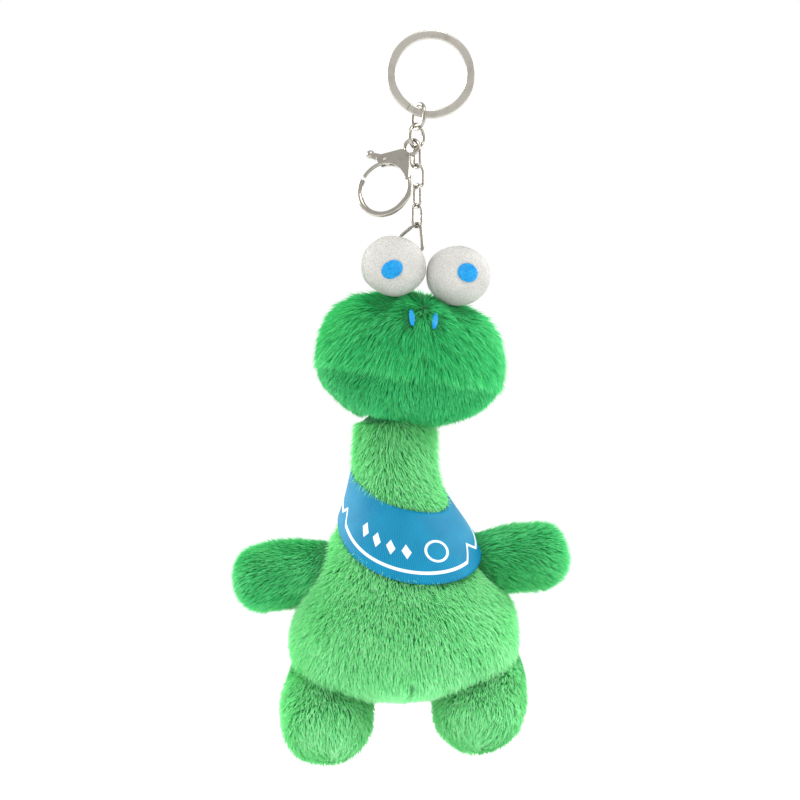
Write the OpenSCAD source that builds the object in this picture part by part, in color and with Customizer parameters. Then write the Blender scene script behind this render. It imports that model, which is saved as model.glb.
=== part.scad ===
// Plush dinosaur keychain: a split key ring, a link and a jump ring with a lobster clasp, a short
// chain and a stuffed toy sewn from pile fabric.
// Millimetres, +Z up, the toy faces -Y. The origin is the hanging point: the inner top of the
// key ring. Left and right are the toy's own, so its left arm is on the +X side.

/* [Key ring] */
// Outer diameter of the split ring
ring_od = 30; // [26:0.5:35]
// Radial width of the flat wire
ring_band = 2.8; // [2:0.1:3.4]
// Thickness of one turn of the flat wire
ring_coil = 1.15; // [0.9:0.05:1.4]
// Angle left of the bottom at which the hardware hangs
hang_lean = 16; // [0:1:25]

/* [Links and chain] */
// Wire diameter of the top link
top_wire = 1.3; // [1:0.1:1.6]
// Outer length of the top link
top_len = 10; // [9:0.1:13]
// Outer width of the top link
top_w = 9.4; // [8.8:0.1:10.4]
// Wire diameter of the jump ring
jump_wire = 1.4; // [1.1:0.1:1.6]
// Outer diameter of the jump ring
jump_od = 9.6; // [8.8:0.1:12]
// Wire diameter of a chain link
link_wire = 1.0; // [0.8:0.1:1.2]
// Outer length of a chain link
link_len = 8.9; // [7.5:0.1:10]
// Outer width of a chain link
link_w = 5.6; // [5:0.1:7]
// Wire diameter of the triangle ring
tri_wire = 1.2; // [1:0.1:1.5]
// Side of the triangle ring along the wire's middle
tri_side = 11.5; // [10:0.5:14]

/* [Lobster clasp] */
// Radius of the clasp's loop at the wire's middle
loop_r = 9.4; // [8:0.1:10.5]
// Diameter of the loop's wire
loop_wire = 2; // [1.6:0.1:2.4]
// Thickness of the clasp's head, over both cheeks
head_t = 3.4; // [3:0.1:4]
// Width of the slot that holds the lever
slot_t = 1.6; // [1.4:0.1:1.8]
// Diameter of the clasp's pivot pin
pin_d = 1.2; // [1:0.1:1.4]
// Outer diameter of the clasp's eye
loop_eye_od = 6.6; // [6.2:0.1:7.4]
// Wire diameter of the clasp's eye
loop_eye_wire = 1.3; // [1:0.1:1.5]

/* [Toy head] */
// Width of the head
head_w = 68; // [56:1:82]
// Depth of the head, front to back
head_d = 50; // [46:1:60]
// Height of the head
head_h = 48; // [40:1:56]
// Clockwise lean of the head, seen from the front
head_lean = 8; // [0:1:10]
// Turn of the face to its left
head_yaw = 8; // [0:1:12]
// Width of an eye ball
eye_d = 21.6; // [18:0.2:22]
// Depth of an eye ball
eye_depth = 18; // [15:0.5:20]
// Diameter of an embroidered pupil
pupil_d = 6.4; // [5:0.1:8]
// Height of an embroidered nostril
nostril_h = 5.4; // [4:0.1:7]
// Width of an embroidered nostril
nostril_w = 2.6; // [1.6:0.1:3]

/* [Toy body] */
// Width of the neck
neck_w = 31; // [28:0.5:35]
// Width of the belly
belly_w = 80; // [72:1:92]
// Height from the neck joint to the bottom of the belly
body_h = 93; // [86:0.5:104]
// Depth of the body as a share of its width
body_flat = 0.78; // [0.7:0.01:0.9]
// Lean of the body, its feet to the right of its neck seen from the front
body_lean = 2.6; // [0:0.2:5]
// Thickness of the pile fabric's backing and pile root
fabric = 2; // [1.6:0.1:3]
// Thickness of an arm
arm_d = 25.5; // [22:0.5:28]
// Length of an arm from its joint to its tip
arm_len = 29.5; // [26:0.5:34]
// Thickness of a leg
leg_d = 32.6; // [28:0.2:36]
// Length of the tail from its joint to its tip
tail_len = 22; // [18:0.5:28]

/* [Scarf] */
// Thickness of the ribbon
ribbon = 0.9; // [0.6:0.1:1.2]
// Height of the scarf in front
scarf_front = 25; // [20:0.5:28]

/* [Hidden] */
$fn = 96;

steel = [0.80, 0.79, 0.76];
plush_green = [0.22, 0.68, 0.36];
eye_white = [0.95, 0.94, 0.93];
thread_blue = [0.07, 0.66, 0.92];
ribbon_blue = [0.05, 0.62, 0.84];
fibre_white = [0.92, 0.92, 0.90];

wire_gap = 0.15;   // slack between two wires that hang on each other
pin_gap = 0.05;    // radial running fit of the lever on its pin
fit_gap = 0.15;    // between a stuffing and the cover that holds it
joint_gap = 0.4;   // between a limb's root and the socket that it turns in
sew_gap = 0.02;    // between two sewn pieces of one body
big = 300;         // larger than the whole part

// Hanging line: where the hardware's wires cross, from the key ring down
band_r = (ring_od - ring_band) / 2;
ring_z = -(ring_od / 2 - ring_band);
hang_x = -band_r * sin(hang_lean);
hang_z = ring_z - band_r * cos(hang_lean);
band_reach = norm([ring_band / 2, ring_coil + 0.05]) + 0.55;  // clears the band's corners at any turn
top_z = hang_z + band_reach + top_wire / 2;            // middle of the top link's upper wire
top_lean = 7;                                          // the top link slopes to the left
top_drop = top_len - top_wire;
line_x = hang_x - top_drop * sin(top_lean);            // the chain hangs on this line
jump_hang_z = top_z - top_drop * cos(top_lean);        // middle of the top link's lower wire
jump_r = (jump_od - jump_wire) / 2;
jump_z = jump_hang_z + (top_wire + jump_wire) / 2 + wire_gap - jump_r;
chain_hang_z = jump_z - jump_r;                        // middle of the jump ring's lowest wire
link_drop = link_len - link_wire;
link_pitch = link_drop - link_wire - wire_gap;
first_link_z = chain_hang_z + (jump_wire + link_wire) / 2 + wire_gap;
function link_top(i) = first_link_z - i * link_pitch;  // middle of link i's upper wire
tri_hang_z = link_top(3) - link_drop;

// How far each plane is turned about the vertical
top_yaw = -62;
jump_yaw = 55;
link_yaw = [115, 28, 116, 50];

// Triangle ring: its corners in its own plane, the middle of its top bend at the origin
tri_bend = 1.4;                                        // bend radius at a corner, wire's middle
tri_tilt = 24;                                         // clockwise, seen from the front
tri_yaw = -25;
tri_height = tri_side * cos(30);
tri_pts = [for (p = [[0, 0], [-tri_side / 2, -tri_height], [tri_side / 2, -tri_height]]) p + [0, 2 * tri_bend]];
tri_z = tri_hang_z - tri_bend + (link_wire + tri_wire) / 2 + wire_gap;  // middle of the top bend
strap_at = 1.2;                                        // along the base bar from its middle
strap_w = 4;
strap_t = 0.7;
strap_in = tri_wire / 2 + 0.3;
bar_out = strap_at * cos(tri_tilt) + tri_pts[1][1] * sin(tri_tilt);
strap_x = line_x + bar_out * cos(tri_yaw);
strap_y = bar_out * sin(tri_yaw);
strap_z = tri_z - strap_at * sin(tri_tilt) + tri_pts[1][1] * cos(tri_tilt);

// Clasp: its eye on the jump ring's wire, its own z axis runs from the loop to the eye
clasp_on = 230;                                        // where on the jump ring, from its right side
clasp_tilt = 33;                                       // the loop swings to the left
clasp_turn = 30;                                       // the loop's right side comes forward
loop_eye_r = (loop_eye_od - loop_eye_wire) / 2;
eye_slack = 0.4;                                       // the eye rests this far off the jump ring
clasp_hang = loop_eye_r - (loop_eye_wire + jump_wire) / 2 - wire_gap - eye_slack;
on_x = line_x + jump_r * cos(clasp_on) * cos(jump_yaw);
on_y = jump_r * cos(clasp_on) * sin(jump_yaw);
on_z = jump_z + jump_r * sin(clasp_on);
clasp_at = [on_x - clasp_hang * sin(clasp_tilt), on_y, on_z - clasp_hang * cos(clasp_tilt)];
loop_z = -(loop_r + 7.3);                              // the loop's centre below the eye's
lever_pin = [-loop_r * 0.57, loop_z + loop_r * 0.925]; // the lever turns about this point
hook_tip = 188.5;                                      // the hook ends at this angle
lever_end = hook_tip - 6;                              // the lever's tip swings past the hook's
lever_t = slot_t - 0.2;
lever_wire = lever_t - 0.1;

// Toy: its parts are placed from the bar that it hangs from
toy_y = 2;
head_at = [strap_x - 0.77, toy_y - 2, strap_z - 37.85];
neck_at = [head_at[0] - 5.2, toy_y, head_at[2] - head_h / 2 - 0.8];
neck_r = neck_w / 2;
belly_r = belly_w / 2;
belly_z = -body_h * 0.69;                              // the widest level, below the neck joint
arm_r = arm_d / 2;
arm_at = [27.5, 0, -45.5];
arm_low = -8;                                          // travel of an arm about its joint
arm_high = 30;
leg_r = leg_d / 2;
hip_at = [27, 2.5, -85];
foot_at = [0, -9.5, -10.2];                            // middle of the foot from the hip
leg_swing = 12;
leg_slack = 2.3;                                       // the stuffing clears a leg's hip by this
tail_r = 8;
tail_tip_r = 4.5;
tail_at = [0, belly_r * body_flat - 7.5, belly_z - 5];
tail_rise = 25;
tail_swing = 15;
eye_at = [eye_d / 2 + 0.25, -9.2, head_h / 2 + 6.2];
eye_h = 20.6;
eye_fabric = 1.6;
chin_z = -4;                                           // the mouth seam, in the head's frame
stitch_t = 0.6;                                        // embroidery stands out this far

// ---------------------------------------------------------------- shapes

module ellipsoid(size) scale(size / 2) sphere(r = 1);

function unit(v) = v / norm(v);
function turn(a, b) = atan2(a[0] * b[1] - a[1] * b[0], a * b);

// A closed wire that follows a polygon in the XZ plane, anticlockwise, bent at each corner
module wire_loop(pts, bend, wire) {
    n = len(pts);
    for (i = [0:n - 1]) {
        p = pts[i];
        into = unit(p - pts[(i + n - 1) % n]);
        out = unit(pts[(i + 1) % n] - p);
        angle = turn(into, out);
        cut = bend * tan(angle / 2);
        centre = p - into * cut + bend * [-into[1], into[0]];
        translate([centre[0], 0, centre[1]]) rotate([90, 0, 0])
            rotate([0, 0, atan2(-into[0], into[1])])
                rotate_extrude(angle = angle) translate([bend, 0]) circle(d = wire, $fn = 40);
        after = pts[(i + 1) % n];
        next_cut = bend * tan(turn(out, unit(pts[(i + 2) % n] - after)) / 2);
        from = p + out * cut;
        translate([from[0], 0, from[1]]) rotate([0, atan2(out[0], out[1]), 0])
            cylinder(d = wire, h = norm(after - p) - cut - next_cut, $fn = 40);
        // a fine collar where a bend meets a straight run
        for (q = [[p - into * cut, into], [from, out]])
            translate([q[0][0], 0, q[0][1]]) rotate([0, atan2(q[1][0], q[1][1]), 0])
                cylinder(d = wire + 0.06, h = 0.3, center = true, $fn = 40);
    }
}

// A stadium link that hangs from the middle of its upper wire at the origin
module link(length, width, wire) {
    r = (width - wire) / 2;
    low = -(length - wire);
    for (end = [0, 1])
        translate([0, 0, end == 0 ? -r : low + r]) rotate([90, end * 180, 0])
            rotate_extrude(angle = 180) translate([r, 0]) circle(d = wire, $fn = 40);
    for (x = [-r, r])
        translate([x, 0, low + r]) cylinder(d = wire, h = -low - 2 * r, $fn = 40);
}

// ---------------------------------------------------------------- hardware

// Flat wire wound twice: two turns, joined where the front one steps across to the back one
module flat_turn(y, from, angle, t, inset = 0)
    translate([0, y + t / 2, ring_z]) rotate([90, 0, 0]) rotate([0, 0, from])
        rotate_extrude(angle = angle)
            translate([ring_od / 2 - ring_band + inset, 0]) square([ring_band - 2 * inset, t]);

module split_key_ring() color(steel) {
    coil_y = (ring_coil + 0.1) / 2;
    step = 235;
    flat_turn(-coil_y, step, 348, ring_coil);
    flat_turn(coil_y, step + 30, 348, ring_coil);
    flat_turn(0, step + 33, 12, 0.5, 0.35);
}

module top_link() color(steel)
    translate([hang_x, 0, top_z]) rotate([0, top_lean, 0]) rotate([0, 0, top_yaw])
        link(top_len, top_w, top_wire);

module jump_ring() color(steel)
    translate([line_x, 0, jump_z]) rotate([90, 0, jump_yaw])
        rotate_extrude() translate([jump_r, 0]) circle(d = jump_wire, $fn = 40);

module chain_link(i) color(steel)
    translate([line_x, 0, link_top(i)]) rotate([0, 0, link_yaw[i]])
        link(link_len, link_w, link_wire);

module triangle_ring() color(steel)
    translate([line_x, 0, tri_z]) rotate([0, 0, tri_yaw]) rotate([0, tri_tilt, 0])
        wire_loop(tri_pts, tri_bend, tri_wire);

// Ribbon loop around the triangle's base bar, its two ends sewn to the top of the head
module anchor_strap() color(plush_green) difference() {
    translate([strap_x, strap_y, strap_z]) rotate([0, 0, tri_yaw]) rotate([0, tri_tilt, 0]) {
        rotate([0, 90, 0]) difference() {
            cylinder(r = strap_in + strap_t, h = strap_w, center = true);
            cylinder(r = strap_in, h = big, center = true);
        }
        for (s = [-1, 1])
            translate([-strap_w / 2, s * (strap_in + strap_t / 2) - strap_t / 2, -20])
                cube([strap_w, strap_t, 20]);
    }
    in_head() head_form(sew_gap);
}

// ---------------------------------------------------------------- clasp

module in_clasp() translate(clasp_at) rotate([0, clasp_tilt, 0]) rotate([0, 0, -clasp_turn]) children();

module across(t) rotate([90, 0, 0]) linear_extrude(t, center = true) children();

module loop_arc(from, to, wire)
    translate([0, 0, loop_z]) rotate([90, 0, 0]) rotate([0, 0, from])
        rotate_extrude(angle = to - from) translate([loop_r, 0]) circle(d = wire, $fn = 40);

module clasp_body() color(steel) in_clasp() difference() {
    shoulder = loop_z + loop_r * 0.62;
    union() {
        rotate([90, 0, 0]) rotate_extrude() translate([loop_eye_r, 0])
            circle(d = loop_eye_wire, $fn = 40);
        difference() {
            across(head_t) polygon([
                [-1.9, -2.2], [1.9, -2.2], [loop_r * 0.7, loop_z + loop_r * 0.78],
                [loop_r * 0.6, shoulder], [-loop_r * 0.72, shoulder],
                [-loop_r * 0.96, loop_z + loop_r * 0.8], [-loop_r * 0.9, loop_z + loop_r * 0.92],
            ]);
            translate([0, 0, loop_z]) across(big) circle(r = loop_r - loop_wire / 2 + 0.1);
        }
        loop_arc(hook_tip, 414, loop_wire);
    }
    // slot for the lever
    translate([-big - 1.6, -slot_t / 2, shoulder - 2]) cube([big, slot_t, 6.6 + 2]);
    // hole for the pin
    translate([lever_pin[0], 0, lever_pin[1]]) across(big) circle(d = pin_d + 2 * sew_gap);
}

module clasp_lever() color(steel) in_clasp() difference() {
    ball = [-loop_r * 1.31, loop_z + loop_r * 0.79];
    union() {
        translate([lever_pin[0], 0, lever_pin[1]]) across(lever_t) circle(r = 1.7);
        loop_arc(128, lever_end, lever_wire);
        across(lever_t) polygon([
            lever_pin + [-0.6, 1.4], lever_pin + [-0.2, -1.5],
            ball + [1.2, -1], ball + [0.4, 0.9],
        ]);
        translate([ball[0], 0, ball[1]]) rotate([90, 0, 0]) rotate([0, 0, 180]) sphere(r = 1.5);
    }
    translate([lever_pin[0], 0, lever_pin[1]]) across(big) circle(d = pin_d + 2 * pin_gap);
}

module clasp_pin() color(steel) in_clasp()
    translate([lever_pin[0], 0, lever_pin[1]]) across(head_t + 0.3) circle(d = pin_d);

module clasp_spring() color(steel) in_clasp()
    translate([lever_pin[0] + 1.8, 0, lever_pin[1] + 0.35]) rotate([0, 90, 0]) difference() {
        cylinder(d = slot_t - 0.4, h = 1.7);
        translate([0, 0, -1]) cylinder(d = slot_t - 1, h = big);
    }

// ---------------------------------------------------------------- toy: head

module in_head() translate(head_at) rotate([0, head_lean, 0]) rotate([0, 0, head_yaw]) children();

module head_form(grow) ellipsoid([head_w, head_d, head_h] + 2 * grow * [1, 1, 1]);

// The neck's end turns about Y in the head, so it is round when seen along Y
module neck_end(grow) translate(neck_at) scale([1, body_flat, 1]) rotate([90, 0, 0]) sphere(r = neck_r + grow);

module at_eye(side) translate([side * eye_at[0], eye_at[1], eye_at[2]]) children();

module eye_form(grow) ellipsoid([eye_d, eye_depth, eye_h] + 2 * grow * [1, 1, 1]);

module head_crown_cover() color(plush_green) difference() {
    in_head() difference() {
        head_form(0);
        translate([0, 0, chin_z - big / 2]) cube(big, center = true);
        head_form(-fabric);
        for (side = [-1, 1]) at_eye(side) eye_form(sew_gap);
    }
    neck_end(joint_gap);
}

module head_chin_cover() color(plush_green) difference() {
    in_head() difference() {
        head_form(0);
        translate([0, 0, chin_z - sew_gap + big / 2]) cube(big, center = true);
        head_form(-fabric);
    }
    neck_end(joint_gap);
}

module head_stuffing() color(fibre_white) difference() {
    in_head() head_form(-fabric - fit_gap);
    neck_end(joint_gap);
}

module eye_cover(side) color(eye_white) in_head() at_eye(side) difference() {
    eye_form(0);
    eye_form(-eye_fabric);
}

module eye_stuffing(side) color(fibre_white) in_head() at_eye(side) eye_form(-eye_fabric - fit_gap);

// Satin-stitched discs and ovals that lie on the pile
pupil_off = [[-1.6, -1.6], [1.8, 1.0]];   // right eye, left eye: from the middle of the ball
module pupil(side) color(thread_blue) in_head() at_eye(side) intersection() {
    difference() {
        eye_form(stitch_t);
        eye_form(sew_gap);
    }
    off = pupil_off[side < 0 ? 0 : 1];
    translate([off[0], -eye_depth / 2, off[1]]) across(eye_depth) circle(d = pupil_d);
}

module nostril(side) color(thread_blue) in_head() intersection() {
    difference() {
        head_form(stitch_t);
        head_form(sew_gap);
    }
    translate([side * 3.9, -head_d / 2, 13.5]) across(head_d)
        scale([nostril_w / nostril_h, 1]) circle(d = nostril_h);
}

// ---------------------------------------------------------------- toy: body

module in_body() translate(neck_at) rotate([0, -body_lean, 0]) children();

// Neck, chest and belly: a cylinder, a cone and an egg, flattened front to back
chest_top = -0.16 * body_h;
chest_low = -0.505 * body_h;
chest_r = neck_r + 0.64 * (belly_r - neck_r);
belly_half = body_h + belly_z;
module body_form(grow) scale([1, body_flat, 1]) {
    sphere(r = neck_r + grow);
    translate([0, 0, chest_top]) cylinder(r = neck_r + grow, h = -chest_top);
    translate([0, 0, chest_low])
        cylinder(r1 = chest_r + grow, r2 = neck_r + grow, h = chest_top - chest_low);
    translate([0, 0, belly_z]) scale([belly_r + grow, belly_r + grow, belly_half + grow]) sphere(r = 1);
}

// A round-ended limb from the origin to the point "to"
module capsule(r, to) rotate([0, atan2(norm([to[0], to[1]]), to[2]), atan2(to[1], to[0])]) {
    sphere(r = r);
    cylinder(r = r, h = norm(to));
    translate([0, 0, norm(to)]) sphere(r = r);
}

module at_arm(side) translate([side * arm_at[0], arm_at[1], arm_at[2]]) children();
module arm_form(side, grow) capsule(arm_r + grow, [side * (arm_len - arm_r), 0, 0]);

module at_leg(side) translate([side * hip_at[0], hip_at[1], hip_at[2]]) children();
module leg_form(grow) capsule(leg_r + grow, foot_at);

module at_tail() translate(tail_at) rotate([90 - tail_rise, 0, 180]) children();
module tail_form(grow) {
    sphere(r = tail_r + grow);
    cylinder(r1 = tail_r + grow, r2 = tail_tip_r + grow, h = tail_len - tail_tip_r);
    translate([0, 0, tail_len - tail_tip_r]) sphere(r = tail_tip_r + grow);
}

// Room for a limb that swings by "swing" to each side of the +Z axis
module swing_room(r, swing, reach) {
    back = 0.5 * r * sin(swing);
    sphere(r = r);
    translate([0, 0, -back])
        cylinder(r1 = (r - back * sin(swing)) / cos(swing), r2 = (r + reach * sin(swing)) / cos(swing),
                 h = reach + back);
}

// Room for every limb over its whole travel, in the body's frame
module arm_and_tail_room(grow) {
    arm_mid = (arm_low + arm_high) / 2;
    for (side = [-1, 1])
        at_arm(side) rotate([0, side * (90 - arm_mid), 0])
            swing_room(arm_r + grow, (arm_high - arm_low) / 2, 24);
    at_tail() swing_room(tail_r + grow, tail_swing, 24);
}

module limb_room(grow) {
    arm_and_tail_room(grow);
    for (side = [-1, 1])
        at_leg(side) rotate([atan2(-foot_at[1], foot_at[2]), 0, 0])
            swing_room(leg_r + grow, leg_swing, 30);
}

module body_shell() difference() {
    body_form(0);
    body_form(-fabric);
    limb_room(joint_gap);
}

module body_front_cover() color(plush_green) in_body() difference() {
    body_shell();
    translate([0, big / 2, 0]) cube(big, center = true);
}

module body_back_cover() color(plush_green) in_body() difference() {
    body_shell();
    translate([0, sew_gap - big / 2, 0]) cube(big, center = true);
}

module body_stuffing() color(fibre_white) in_body() difference() {
    body_form(-fabric - fit_gap);
    arm_and_tail_room(joint_gap);
    // two balls leave room for a leg over its whole swing
    for (side = [-1, 1], along = [0, 1]) at_leg(side) translate(along * foot_at)
        sphere(r = leg_r + leg_slack + along * 0.62 * norm(foot_at) * sin(leg_swing));
}

// Ribbon scarf around the neck, widest in front, its edges lower in front and on the toy's left
scarf_top = 17.3;                        // its edges below the neck joint, on the body's axis
scarf_low = scarf_top + 0.54 * scarf_front;
top_slope = [27, 17, 0];                 // how far its edges slope down to the front and the left
low_slope = [39, 9, 0];
scarf_ease = 0.3;                        // it lies this far off the body
module scarf() color(ribbon_blue) in_body() difference() {
    body_form(scarf_ease + ribbon);
    body_form(scarf_ease);
    translate([0, 0, -scarf_top]) rotate(top_slope) translate([0, 0, big / 2]) cube(big, center = true);
    translate([0, 0, -scarf_low]) rotate(low_slope) translate([0, 0, -big / 2]) cube(big, center = true);
    arm_and_tail_room(joint_gap);
}

// ---------------------------------------------------------------- toy: limbs

module arm_cover(side) color(plush_green) in_body() at_arm(side) difference() {
    arm_form(side, 0);
    arm_form(side, -fabric);
}

module arm_stuffing(side) color(fibre_white) in_body() at_arm(side)
    arm_form(side, -fabric - fit_gap);

module leg_cover(side) color(plush_green) in_body() at_leg(side) difference() {
    leg_form(0);
    leg_form(-fabric);
}

module leg_stuffing(side) color(fibre_white) in_body() at_leg(side) leg_form(-fabric - fit_gap);

module tail_cover() color(plush_green) in_body() at_tail() difference() {
    tail_form(0);
    tail_form(-fabric);
}

module tail_stuffing() color(fibre_white) in_body() at_tail() tail_form(-fabric - fit_gap);

// ---------------------------------------------------------------- nodes

split_key_ring();
top_link();
jump_ring();
clasp_body();
clasp_lever();
clasp_pin();
clasp_spring();
chain_link(0);  // chain_link_1
chain_link(1);  // chain_link_2
chain_link(2);  // chain_link_3
chain_link(3);  // chain_link_4
triangle_ring();
anchor_strap();
head_crown_cover();
head_chin_cover();
head_stuffing();
eye_cover(1);  // left_eye_cover
eye_cover(-1);  // right_eye_cover
eye_stuffing(1);  // left_eye_stuffing
eye_stuffing(-1);  // right_eye_stuffing
pupil(1);  // left_pupil
pupil(-1);  // right_pupil
nostril(1);  // left_nostril
nostril(-1);  // right_nostril
body_front_cover();
body_back_cover();
body_stuffing();
scarf();
arm_cover(1);  // left_arm_cover
arm_cover(-1);  // right_arm_cover
arm_stuffing(1);  // left_arm_stuffing
arm_stuffing(-1);  // right_arm_stuffing
leg_cover(1);  // left_leg_cover
leg_cover(-1);  // right_leg_cover
leg_stuffing(1);  // left_leg_stuffing
leg_stuffing(-1);  // right_leg_stuffing
tail_cover();
tail_stuffing();
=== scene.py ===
import math

import bmesh
import bpy
from mathutils import Euler, Matrix, Vector, noise


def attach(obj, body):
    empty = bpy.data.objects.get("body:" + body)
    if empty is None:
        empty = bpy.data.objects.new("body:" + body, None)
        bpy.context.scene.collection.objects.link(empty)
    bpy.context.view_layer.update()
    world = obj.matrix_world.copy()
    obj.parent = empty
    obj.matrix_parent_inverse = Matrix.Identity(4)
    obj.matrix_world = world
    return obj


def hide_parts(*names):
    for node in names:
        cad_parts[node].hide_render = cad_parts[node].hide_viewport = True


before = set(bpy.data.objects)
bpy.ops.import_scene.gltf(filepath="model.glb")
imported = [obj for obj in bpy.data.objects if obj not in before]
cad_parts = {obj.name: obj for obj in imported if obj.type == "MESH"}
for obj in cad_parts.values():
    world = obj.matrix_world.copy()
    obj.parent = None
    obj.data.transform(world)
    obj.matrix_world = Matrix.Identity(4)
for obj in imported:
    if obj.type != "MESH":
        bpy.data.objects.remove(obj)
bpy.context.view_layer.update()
MM = 0.001


# ==== Split key ring =========================================================================
# Nickel-plated flat steel wire wound twice, its ends cut square and the two turns pressed
# together. Swept as one strip that steps across to the second turn near its lower left.

def linear(rgb):
    """A colour given as 0-255 sRGB, as a linear RGBA tuple."""
    part = [c / 255 for c in rgb]
    return tuple(c / 12.92 if c <= 0.04045 else ((c + 0.055) / 1.055) ** 2.4 for c in part) + (1.0,)


class Value:
    """A node socket that takes part in sums, so that a node tree reads like a formula."""

    def __init__(self, owner, socket):
        self.owner, self.socket = owner, socket

    def maths(self, kind, other, swapped=False):
        a, b = (other, self) if swapped else (self, other)
        return self.owner.node("ShaderNodeMath", {0: a, 1: b}, operation=kind)

    def __add__(self, o): return self.maths("ADD", o)
    def __radd__(self, o): return self.maths("ADD", o)
    def __sub__(self, o): return self.maths("SUBTRACT", o)
    def __rsub__(self, o): return self.maths("SUBTRACT", o, swapped=True)
    def __mul__(self, o): return self.maths("MULTIPLY", o)
    def __rmul__(self, o): return self.maths("MULTIPLY", o)
    def __truediv__(self, o): return self.maths("DIVIDE", o)
    def __rtruediv__(self, o): return self.maths("DIVIDE", o, swapped=True)
    def __pow__(self, o): return self.maths("POWER", o)

    def above(self, low, high):
        """0 below low, 1 above high, smooth between them."""
        inputs = {"Value": self, "From Min": low, "From Max": high}
        return self.owner.node("ShaderNodeMapRange", inputs, interpolation_type="SMOOTHSTEP")

    def clamped(self):
        return self.owner.node("ShaderNodeClamp", {"Value": self})


class Nodes:
    """A node tree, filled in by node() calls that return their first output, or another."""

    def node(self, kind, inputs=None, out=0, **settings):
        made = self.tree.nodes.new(kind)
        for key, value in settings.items():
            setattr(made, key, value)
        for key, value in (inputs or {}).items():
            if isinstance(value, Value):
                self.tree.links.new(value.socket, made.inputs[key])
            else:
                made.inputs[key].default_value = value
        return Value(self, made.outputs[out])

    def vector(self, kind, a, b=None, out=0):
        inputs = {0: a} if b is None else {0: a, "Scale" if kind == "SCALE" else 1: b}
        return self.node("ShaderNodeVectorMath", inputs, out, operation=kind)

    def split(self, vector):
        return [self.node("ShaderNodeSeparateXYZ", {0: vector}, i) for i in range(3)]

    def noise(self, place, scale, detail=2.0, stretch=None, out=0):
        if stretch:
            place = self.vector("MULTIPLY", place, stretch)
        return self.node("ShaderNodeTexNoise", {"Vector": place, "Scale": scale, "Detail": detail}, out)


class Shader(Nodes):
    """A material with one Principled node."""

    def __init__(self, name, **constants):
        self.material = bpy.data.materials.new(name)
        self.material.use_nodes = True
        self.tree = self.material.node_tree
        self.principled = self.tree.nodes["Principled BSDF"]
        for key, value in constants.items():
            self.principled.inputs[key.replace("_", " ")].default_value = value

    def mix(self, factor, a, b):
        return self.node("ShaderNodeMix", {0: factor, 6: a, 7: b}, 2, data_type="RGBA")

    def place(self):
        return self.node("ShaderNodeTexCoord", out=3)

    def attribute(self, name, out=2):
        return self.node("ShaderNodeAttribute", out=out, attribute_name=name)

    def feed(self, **values):
        for key, value in values.items():
            self.tree.links.new(value.socket, self.principled.inputs[key.replace("_", " ")])
        return self

    def bump(self, height, distance, strength=1.0):
        inputs = {"Height": height, "Distance": distance, "Strength": strength}
        return self.feed(Normal=self.node("ShaderNodeBump", inputs))


def plated_steel(name, colour, shine, scuff):
    """Bright nickel plate with handling marks, fine scratches and slightly darker patches at random."""
    s = Shader(name, Metallic=1.0)
    here = s.place()
    cloud = s.noise(here, 260.0, 3.0)
    scratch = s.noise(here, 900.0, 2.0, stretch=(1.0, 1.0, 0.12))
    marks = scratch.above(0.58, 0.7)
    warm = s.mix(cloud.above(0.45, 0.75), linear(colour), linear([c * 0.9 for c in colour]))
    s.feed(Base_Color=s.mix(marks * 0.4, warm, linear((168, 160, 150))))
    s.feed(Roughness=(cloud * 0.14 + marks * scuff + shine).clamped())
    return s.bump(scratch, 0.02 * MM, 0.25).material


def mesh_piece(name, points, faces, material, smooth=True):
    """A mesh object in the row frame, its normals turned outward."""
    mesh = bpy.data.meshes.new(name)
    mesh.from_pydata([tuple(p) for p in points], [], faces)
    work = bmesh.new()
    work.from_mesh(mesh)
    bmesh.ops.recalc_face_normals(work, faces=work.faces)
    for face in work.faces:
        face.smooth = smooth
    work.to_mesh(mesh)
    work.free()
    mesh.materials.append(material)
    made = bpy.data.objects.new(name, mesh)
    bpy.context.scene.collection.objects.link(made)
    return made


def sweep(path, binormal, section, closed):
    """Points and faces of a section carried along a path that lies in one plane.

    The section's first coordinate runs in the plane, away from the path's left, its second
    along the plane's normal.
    """
    count, around = len(path), len(section)
    points, faces = [], []
    for i, at in enumerate(path):
        before = path[i - 1] if closed or i else at
        after = path[(i + 1) % count] if closed or i < count - 1 else at
        along = (after - before).normalized()
        side = binormal.cross(along).normalized()
        up = along.cross(side)
        points += [at + side * a + up * b for a, b in section]
    for i in range(count if closed else count - 1):
        j = (i + 1) % count
        for k in range(around):
            m = (k + 1) % around
            faces.append((i * around + k, j * around + k, j * around + m, i * around + m))
    if not closed:
        faces.append(tuple(range(around)))
        faces.append(tuple(range((count - 1) * around, count * around))[::-1])
    return points, faces


def rounded(width, height, corner, steps=3):
    """A rectangle's outline with rounded corners."""
    out = []
    for quarter, (x, y) in enumerate(((1, 1), (-1, 1), (-1, -1), (1, -1))):
        for i in range(steps + 1):
            angle = math.pi / 2 * (quarter + i / steps)
            out.append((x * (width / 2 - corner) + corner * math.cos(angle),
                        y * (height / 2 - corner) + corner * math.sin(angle)))
    return out


NICKEL = plated_steel("nickel_plate", (158, 153, 144), 0.12, 0.16)
BRUSHED = plated_steel("rolled_nickel", (180, 176, 167), 0.25, 0.12)

RING_MIDDLE = Vector((0, 0, -12.2)) * MM
RING_RADIUS = 13.6 * MM
STRIP_WIDE, STRIP_THICK, TURN_APART = 2.8 * MM, 1.12 * MM, 1.22 * MM


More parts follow.
